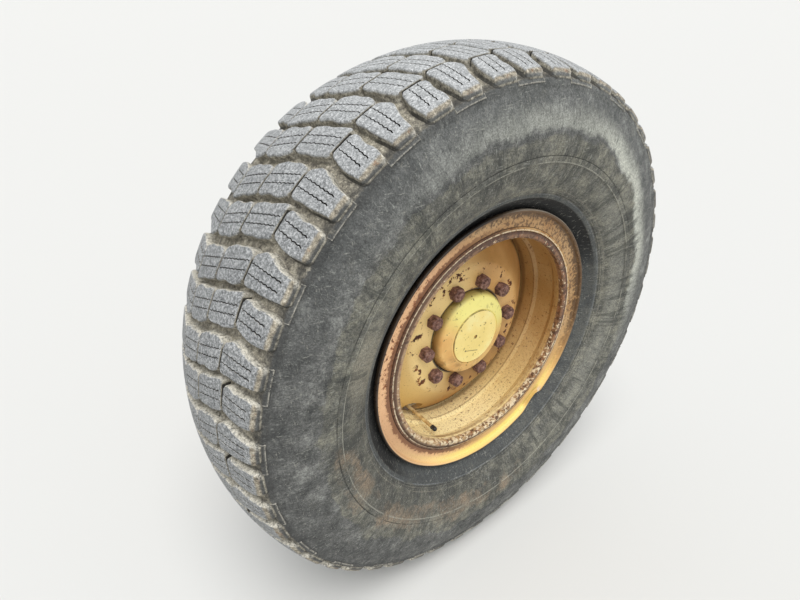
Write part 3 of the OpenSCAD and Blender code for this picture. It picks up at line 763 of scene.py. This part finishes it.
# Blocks of the near half: outline, and the ends of two sipes, as (along the tread, station)
BLOCKS = {
    "short_shoulder": (
        [(-31, 190), (27, 190), (33, 148), (28, 127), (37, 104), (29, 93.3), (-22, 93.3), (-33, 123),
         (-35, 143)],
        [((-12, 154), (-6, 94)), ((8, 154), (14, 94))]),
    "short_centre": (
        [(-29, 89.6), (42, 88), (33, 64), (24, 47), (24, 36), (11, 9), (-43, 9), (-48, 16), (-47, 32),
         (-40, 48), (-42, 58), (-35, 72)],
        [((-4, 89), (-30, 9)), ((15, 89), (-11, 9))]),
    "long_shoulder": (
        [(-29, 190), (18, 190), (23, 137), (40, 101), (23, 76.7), (-32, 76.7), (-37, 85), (-33, 105),
         (-35, 118), (-33, 137)],
        [((-14, 152), (-13, 77)), ((5, 152), (7, 77))]),
    "long_centre": (
        [(-32, 73), (23, 73), (28, 54), (19, 31), (20, 22), (3, -5), (-55, -5), (-62, 2), (-49, 26),
         (-50, 44), (-45, 58)],
        [((-11, 73), (-38.5, -5)), ((8, 73), (-19.5, -5))]),
}


def crown_radius(station):
    reach = min(abs(station), CROWN_EDGE)
    slope = SHOULDER_SLOPE * (abs(station) - reach)
    return CROWN_R - CROWN_ARC + math.sqrt(CROWN_ARC ** 2 - reach ** 2) - slope


def floor_radius(station):
    return FLOOR_R - FLOOR_ARC + math.sqrt(FLOOR_ARC ** 2 - station ** 2)


def belly_half(radius, depth=0.0):
    """Half the casing's width at a radius, or at a depth inside its wall."""
    return math.sqrt((BELLY_ARC - depth) ** 2 - (BELLY_R - radius) ** 2) - BELLY_SHIFT


def around(clock, radius, station):
    """A place from its clock angle in degrees and its radius and station in millimetres."""
    angle = math.radians(clock)
    return (radius * math.cos(angle) * MM, WHEEL_Y + station * MM, radius * math.sin(angle) * MM)


def near_half(points):
    return [Vector((u, min(s + PATTERN_SHIFT, SHOULDER_EDGE))) for u, s in points]


def far_half(points):
    """The near half's pattern turned round, for the other side of the tread."""
    return [Vector((HALF_SHIFT - u, max(PATTERN_SHIFT - s, -SHOULDER_EDGE))) for u, s in points]


def eased(outline, reach):
    """The outline with each corner cut by two points, and its long edges divided."""
    points = []
    count = len(outline)
    for i in range(count):
        here = outline[i]
        for other in (outline[i - 1], outline[(i + 1) % count]):
            edge = other - here
            points.append(here + edge * min(reach / edge.length, 0.4))
    divided = []
    for i, point in enumerate(points):
        after = points[(i + 1) % len(points)]
        parts = max(1, round((after - point).length / EDGE_RUN))
        divided.extend(point.lerp(after, k / parts) for k in range(parts))
    return divided


def held(value):
    """The value, kept between 0 and 1."""
    return min(1.0, max(0.0, value))


def winding(loop):
    return sum(loop[i - 1].cross(loop[i]) for i in range(len(loop)))


def normals(outline):
    """The outward direction at each point of an outline drawn anticlockwise."""
    count = len(outline)
    found = []
    for i in range(count):
        before = (outline[i] - outline[i - 1]).normalized()
        after = (outline[(i + 1) % count] - outline[i]).normalized()
        found.append(Vector((before.y + after.y, -before.x - after.x)).normalized())
    return found


def grown(outline, distance):
    return [point + normal * distance for point, normal in zip(outline, normals(outline))]


def sipe_loop(start, end, widths):
    """A closed thin loop along a sipe, with small teeth."""
    run = end - start
    side = Vector((-run.y, run.x)).normalized()
    count = max(6, round(run.length / TOOTH_RUN))
    left, right = [], []
    for i in range(count + 1):
        part = i / count
        half = (widths[0] * (1 - part) + widths[1] * part) / 2
        tooth = (0.75 + 0.6 * random.random()) * (1 if i % 2 else -1)
        middle = start + run * part + side * tooth
        left.append(middle + side * half)
        right.append(middle - side * half)
    return left + right[::-1]


def fitted_sipe(start, end, top):
    """The sipe's loop, shortened at either end until it lies within the block's top."""
    widths = SHOULDER_SIPE if abs(start.y) > 150 else CENTRE_SIPE

    def fits(points):
        return all(inside(p, top) and clear_of(p, [top], SIPE_MARGIN) for p in points)

    loop = sipe_loop(start, end, widths)
    for _ in range(60):
        count = len(loop) // 2
        first = fits(loop[:2] + loop[-2:])
        last = fits(loop[count - 2:count + 2])
        if first and last:
            break
        step = (end - start).normalized() * SIPE_SHORTENING
        start = start if first else start + step
        end = end if last else end - step
        loop = sipe_loop(start, end, widths)
    return loop


class MeshParts:
    """Gathers vertices, faces and three values of each vertex for one mesh."""

    def __init__(self):
        self.places = []
        self.faces = []
        self.values = {"wear_and_shade": [], "tone": [], "dust": []}

    def add(self, places, wear_and_shade=0.0, tone=0.5, dust=0.0):
        start = len(self.places)
        self.places.extend(places)
        for name, value in (("wear_and_shade", wear_and_shade), ("tone", tone), ("dust", dust)):
            row = value if isinstance(value, list) else [value] * len(places)
            self.values[name].extend(row)
        return list(range(start, start + len(places)))

    def bridge(self, first, second):
        count = len(first)
        for i in range(count):
            k = (i + 1) % count
            self.faces.append((first[i], first[k], second[k], second[i]))

    def bridge_all(self, rings):
        for i in range(len(rings)):
            self.bridge(rings[i], rings[(i + 1) % len(rings)])

    def piece(self, name, material, smooth_angle):
        mesh = bpy.data.meshes.new(name)
        mesh.from_pydata(self.places, [], self.faces)
        for title, values in self.values.items():
            layer = mesh.attributes.new(title, "FLOAT", "POINT")
            layer.data.foreach_set("value", values)
        faces = bmesh.new()
        faces.from_mesh(mesh)
        bmesh.ops.recalc_face_normals(faces, faces=faces.faces)
        faces.to_mesh(mesh)
        faces.free()
        mesh.materials.append(material)
        mesh.polygons.foreach_set("use_smooth", [True] * len(mesh.polygons))
        mesh.set_sharp_from_angle(angle=math.radians(smooth_angle))
        mesh.validate()
        return placed(name, mesh)


def inside(point, loop):
    found = False
    for i in range(len(loop)):
        a, b = loop[i - 1], loop[i]
        if (a.y > point.y) != (b.y > point.y):
            if point.x < (b.x - a.x) * (point.y - a.y) / (b.y - a.y) + a.x:
                found = not found
    return found


def clear_of(point, loops, distance):
    return all((point - other).length > distance for loop in loops for other in loop)


def block_shape(outline, sipes):
    """One block flat: its edge, its top's loops and inner points, and the top's triangles."""
    edge = eased(outline, CORNER_CUT)
    if winding(edge) < 0:
        edge.reverse()
    top = grown(edge, -TOP_INSET)
    slots = [fitted_sipe(start, end, top) for start, end in sipes]
    points = list(top)
    edges = [(i, (i + 1) % len(top)) for i in range(len(top))]
    for loop in slots:
        start = len(points)
        points.extend(loop)
        edges.extend((start + i, start + (i + 1) % len(loop)) for i in range(len(loop)))
    low_u, high_u = min(p.x for p in top), max(p.x for p in top)
    low_s, high_s = min(p.y for p in top), max(p.y for p in top)
    free = []
    crease = CROWN_EDGE if high_s > 0 else -CROWN_EDGE
    for i in range(int((high_u - low_u) / CREASE_RUN) + 1):
        point = Vector((low_u + CREASE_RUN * i, crease))
        if inside(point, top) and clear_of(point, [top], 2.5):
            free.append(point)
    edges.extend((len(points) + i, len(points) + i + 1) for i in range(len(free) - 1))
    for i in range(int((high_u - low_u) / GRID_RUN) + 1):
        for k in range(int((high_s - low_s) / GRID_RUN) + 1):
            point = Vector((low_u + GRID_RUN * i + (k % 2) * GRID_RUN / 2, low_s + GRID_RUN * k))
            if inside(point, top) and clear_of(point, [top] + slots + [free], 4):
                free.append(point)
    points.extend(free)
    result = delaunay_2d_cdt(points, edges, [], 1, 1e-5)
    flat, triangles, origins = result[0], result[2], result[3]
    order = [source[0] if source else i for i, source in enumerate(origins)]
    kept = []
    for triangle in triangles:
        middle = sum((flat[k] for k in triangle), Vector((0, 0))) / 3
        if not any(inside(middle, loop) for loop in slots):
            kept.append([order[k] for k in triangle])
    return edge, top, slots, free, kept


# The loops down a block's side: how far out, how much of the way to the groove's floor, and wear, whose
# low values get painted shade
BLOCK_SIDES = [(-1.0, 0.05, 0.9), (0.0, 0.16, 0.78), (0.7, 0.5, 0.5), (1.6, 0.8, 0.28), (4.0, 0.96, 0.1),
               (5.5, 1.3, 0.0)]


def foot_dust_and_shade(point, way, narrow):
    """Dust at a block's foot: less at the shoulder, and painted shade below its front face, given as
    negative values.
    """
    if narrow:
        return 0.0
    mouth = held((abs(point.y) - 110) / 40)
    front = held(-way.x * 1.6)
    return 0.5 * (1 - mouth) - front * (0.35 + 0.75 * mouth)


def add_block(parts, shape, row_clock):
    """Sets one block on the casing, with rounded edges and sides that flare at the foot."""
    edge, top, slots, free, triangles = shape
    tone = random.random()
    ways = normals(edge)
    outer = [abs(p.y) > 170 for p in edge]
    facing = [abs(way.y) > 0.8 and not out for way, out in zip(ways, outer)]
    count = len(edge)
    deep = [facing[i] and facing[i - 1] and facing[(i + 1) % count] for i in range(count)]
    # Narrow gaps lower the wear value, so they get painted shade as dark clefts.
    narrow = [CLEFT if here else 0.0 for here in deep]
    middle = [CLEFT if deep[i] and deep[i - 1] and deep[(i + 1) % count] else 0.0 for i in range(count)]
    # Rear edges get dust that is also a painted highlight; the foot gets dust, and painted shade below
    # front faces.
    rear = [held(way.x * 1.6) for way in ways]
    foot = [foot_dust_and_shade(p, way, gap) for p, way, gap in zip(edge, ways, narrow)]

    def place(point, depth=0.0, part=0.0):
        """Below the crown by a depth in millimetres, or by a part of the way to the groove's floor."""
        station = max(-BLOCK_LIMIT, min(BLOCK_LIMIT, point.y))
        crown = crown_radius(station)
        depth += part * (crown - floor_radius(station))
        return around(row_clock + point.x / DEGREE_RUN, crown - depth, station)

    upper = parts.add([place(p) for p in top], 1.0, tone)
    slot_tops = [parts.add([place(p, 0.1) for p in loop], 0.95, tone) for loop in slots]
    inner = parts.add([place(p) for p in free], 1.0, tone)
    indices = upper + [i for loop in slot_tops for i in loop] + inner
    parts.faces.extend(tuple(indices[k] for k in triangle) for triangle in triangles)
    for out, part, wear_and_shade in BLOCK_SIDES:
        gaps = narrow if out < 2.0 else middle
        wear_and_shade_values = [wear_and_shade - gap if out > -0.5 else wear_and_shade for gap in gaps]
        dust_highlight_and_shade = rear if wear_and_shade > 0.4 else foot
        lower = parts.add([place(p, part=part) for p in grown(edge, out)], wear_and_shade_values, tone, dust_highlight_and_shade)
        parts.bridge(lower, upper)
        upper = lower
    parts.faces.append(tuple(reversed(upper)))
    # Sipe walls get a wear value of -1, so they get painted shade.
    for loop, rim in zip(slots, slot_tops):
        throat = parts.add([place(p, 1.0) for p in loop], -1.0, tone)
        floor = parts.add([place(p, SIPE_DEPTH) for p in loop], -1.0, tone)
        parts.bridge(throat, rim)
        parts.bridge(floor, throat)
        parts.faces.append(tuple(reversed(floor)))


def add_pad(parts, start, end, clock, side):
    """The flat that closes a groove's mouth beside a long shoulder block, with a thin raised border."""
    section = [(637.5, 171.5), (636.5, 175.8), (633, 178.9), (630.4, 180.4), (629, 181.7), (627.4, 181.4),
               (625.8, 178), (626.5, 170), (637.5, 170)]
    section_dust = [0, 0, 0, 0.05, 0.6, 0.5, 0, 0, 0]
    border_run, margin = 1.1, 3
    columns = [start, start + border_run, start + margin]
    columns.extend(start + margin + (end - start - 2 * margin) * k / 9 for k in range(1, 10))
    columns.extend([end - border_run, end])
    last = len(columns) - 1
    rings = []
    for i, column in enumerate(columns):
        border = i in (1, last - 1)
        rise = {0: -3.5, 1: 0.9, last - 1: 0.9, last: -3.5}.get(i, 0.0)
        places = [around(clock + column / DEGREE_RUN, r, side * (s + (rise if s > 175 else 0)))
                  for r, s in section]
        rings.append(parts.add(places, 0.0, 0.5, [0.6] * len(section) if border else section_dust))
    for first, second in zip(rings, rings[1:]):
        parts.bridge(*((first, second) if side > 0 else (second, first)))
    ends = (tuple(rings[0]), tuple(reversed(rings[-1])))
    parts.faces.extend(ends if side < 0 else tuple(tuple(reversed(face)) for face in ends))


def casing_profile():
    """The closed section of the casing, from the outer bead over the tread and back inside."""
    half = [(314.4, 84.2), (317.7, 126.2), (346.0, 126.5), (354.0, 129.4), (361.0, 133.5), (368.0, 139.5),
            (376.0, 148.5), (384.0, 158.0), (387.0, 162.2), (390.0, 163.6), (393.0, 163.8), (396.0, 165.2)]
    half.extend((r, belly_half(r)) for r in range(400, 465, 8))
    band = [(471.5, 0), (473, 1.3), (475, 1.3), (481, 0.9), (486, 0.7), (487, -0.7), (488.4, -0.7),
            (490, 0)]
    half.extend((r, belly_half(r) + out) for r, out in band)
    half.extend((497 + i * 7.5, belly_half(497 + i * 7.5)) for i in range(16))
    half.extend([(613, 182.8), (618, 181.2), (621, 181.6), (628, 179.6), (633.4, 177.6)])
    half.extend((floor_radius(s), s) for s in (174, 160, 140, 120, 100, 80, 60, 40, 20, 0))
    inner = [(341.5, 84.2), (352, 98), (372, 117), (404, belly_half(404) - WALL_T)]
    inner.extend((r, belly_half(r, WALL_T)) for r in range(420, 601, 20))
    inner.extend([(610, 150), (622, 122), (632, 90), (639, 55), (642, 26), (642.6, 0)])
    outer_side = half[:-1] + [(r, -s) for r, s in reversed(half)]
    inner_side = [(r, -s) for r, s in inner] + [(r, s) for r, s in reversed(inner[:-1])]
    return outer_side + inner_side


def make_casing(material):
    parts = MeshParts()
    rings = []
    for radius, station in casing_profile():
        ring = [around(i * 360 / CASING_SIDES, radius, station) for i in range(CASING_SIDES)]
        rings.append(parts.add(ring))
    parts.bridge_all(rings)
    return parts.piece("tyre_casing", material, 35)


def make_tread(material):
    parts = MeshParts()
    shapes = {}
    for name, (outline, sipes) in BLOCKS.items():
        shapes[name] = block_shape(near_half(outline), [near_half(s) for s in sipes])
        shapes["far_" + name] = block_shape(far_half(outline), [far_half(s) for s in sipes])
    short_row = ["short_shoulder", "short_centre", "far_long_centre", "far_long_shoulder"]
    long_row = ["long_shoulder", "long_centre", "far_short_centre", "far_short_shoulder"]
    pitch = 360 / PITCH_COUNT
    for i in range(PITCH_COUNT):
        clock = TREAD_CLOCK + i * pitch
        for name in short_row:
            add_block(parts, shapes[name], clock)
        for name in long_row:
            add_block(parts, shapes[name], clock + pitch / 2)
        add_pad(parts, -61, 20, clock + pitch / 2, 1)
        add_pad(parts, HALF_SHIFT - 20, HALF_SHIFT + 61, clock, -1)
    return parts.piece("tyre_tread", material, 35)


def make_tyre():
    material = tyre_material()
    for piece in (make_casing(material), make_tread(material)):
        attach(piece, "wheel")
        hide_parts("tyre")


# The flange, with its bitten lip

def flange_section():
    """The flange's closed section as (radius, station), from its inner edge over the lip."""
    curl_r, curl_station = 339.6, 143
    lip_r, lip_station = 351.1, 143.5
    hollow, lip, back = 7, 4.5, 16
    lip_angles = (0.4, 0.8, 1.2, 1.57, 1.95, 2.35, 2.75)
    points = [(311.3, 124), (311.3, 136), (330, 136), (curl_r, 136)]
    points.extend((curl_r + hollow * math.sin(a), curl_station - hollow * math.cos(a))
                  for a in (0.4, 0.8, 1.2))
    points.append((346.6, curl_station))
    points.extend((lip_r - lip * math.cos(a), lip_station + lip * math.sin(a)) for a in lip_angles)
    points.append((355.6, curl_station))
    points.extend((curl_r + back * math.cos(a), curl_station - back * math.sin(a))
                  for a in (0.3, 0.6, 0.9, 1.2))
    points.extend([(curl_r, 127), (317.5, 127), (313.4, 80), (303.3, 80), (303.3, 116)])
    return points


# The bite in the lip: depth in millimetres, then its ends and how soon each eases in degrees
BITE_DEPTH = 9.5
BITE_START, BITE_END = 227.6, 243.5
BITE_ENTRY, BITE_EXIT = 3.6, 10.5
# Where the flange starts to give way to the bite, and over what height, in millimetres
BEND_R, BEND_H = 332, 19


def bite(clock):
    """How far the lip is bent in: sharply where the bite starts, easing out after it."""
    enter = held((clock - BITE_START) / BITE_ENTRY)
    leave = held((BITE_END - clock) / BITE_EXIT)
    return BITE_DEPTH * (3 * enter ** 2 - 2 * enter ** 3) * (3 * leave ** 2 - 2 * leave ** 3)


def make_flange():
    """The side flange again, with a smooth bite and a slightly uneven lip."""
    parts = MeshParts()
    section = flange_section()
    columns = []
    for i in range(FLANGE_SIDES):
        clock = 360 * i / FLANGE_SIDES
        turn = math.radians(clock)
        uneven = 0.25 * math.sin(11 * turn + 1) + 0.2 * math.sin(23 * turn) - 0.45
        bent = bite(clock) - uneven
        column = []
        for radius, station in section:
            share = held((radius - BEND_R) / BEND_H)
            lower = 0.35 * bite(clock) * share if station > 136.5 else 0.0
            column.append(around(clock, radius - bent * share * share, station - lower))
        columns.append(parts.add(column))
    parts.bridge_all(columns)
    flange = parts.piece("side_flange_paint", flange_material(), 40)
    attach(flange, "wheel")
    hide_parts("side_flange")


# Weld between disc and rim

def make_weld():
    """A rippled bead in the corner between the disc's edge and the barrel."""
    parts = MeshParts()
    disc_low, disc_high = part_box("wheel_disc")
    ring_r = (disc_high[0] - disc_low[0]) / 2 / MM - 2.5
    station = disc_low[1] / MM - WHEEL_Y / MM - 0.5
    sides, section, bead_r = 720, 10, 4.2
    rings = []
    for k in range(section):
        turn = 2 * math.pi * k / section
        ring = []
        for i in range(sides):
            clock = 360 * i / sides
            ripple = 0.5 * math.sin(i * 2 * math.pi / 6) + 0.4 * math.sin(math.radians(clock * 23))
            reach = bead_r + ripple
            ring.append(around(clock, ring_r + reach * math.cos(turn), station + reach * math.sin(turn)))
        rings.append(parts.add(ring))
    parts.bridge_all(rings[::-1])
    weld = parts.piece("disc_weld", rim_material(), 60)
    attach(weld, "wheel")


# Dressing the carried-over pieces

def dress(material, *nodes):
    for name in nodes:
        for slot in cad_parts[name].material_slots:
            slot.material = material


def dress_nodes():
    dress(rim_material(), "rim_base")
    dress(disc_material(), "wheel_disc")
    dress(cap_material(), "hub_cap")
    dress(hub_material(), "hub")
    dress(axle_material(), "knuckle", "steering_arm")
    dress(ring_material(), "lock_ring")
    dress(nut_material(), "wheel_nuts", "wheel_studs", "arm_bolts")
    dress(plain_material("bushing_bronze", "7c5c30", "a07a42", 0.4, 0.9), "kingpin_bushings")
    dress(plain_material("seal_steel_dull", "4a4844", "6e6b64", 0.45, 0.8), "hub_seal")
    dress(plain_material("stem_paint", "a98756", "e2c78e", 0.5), "valve_stem")
    dress(plain_material("valve_cap_black", "16161a", "2e2d2c", 0.5), "valve_cap")


def main():
    random.seed(7)
    bpy.context.scene.view_settings.view_transform = "Standard"
    make_camera()
    make_floor()
    make_light()
    make_tyre()
    make_flange()
    make_weld()
    dress_nodes()


main()
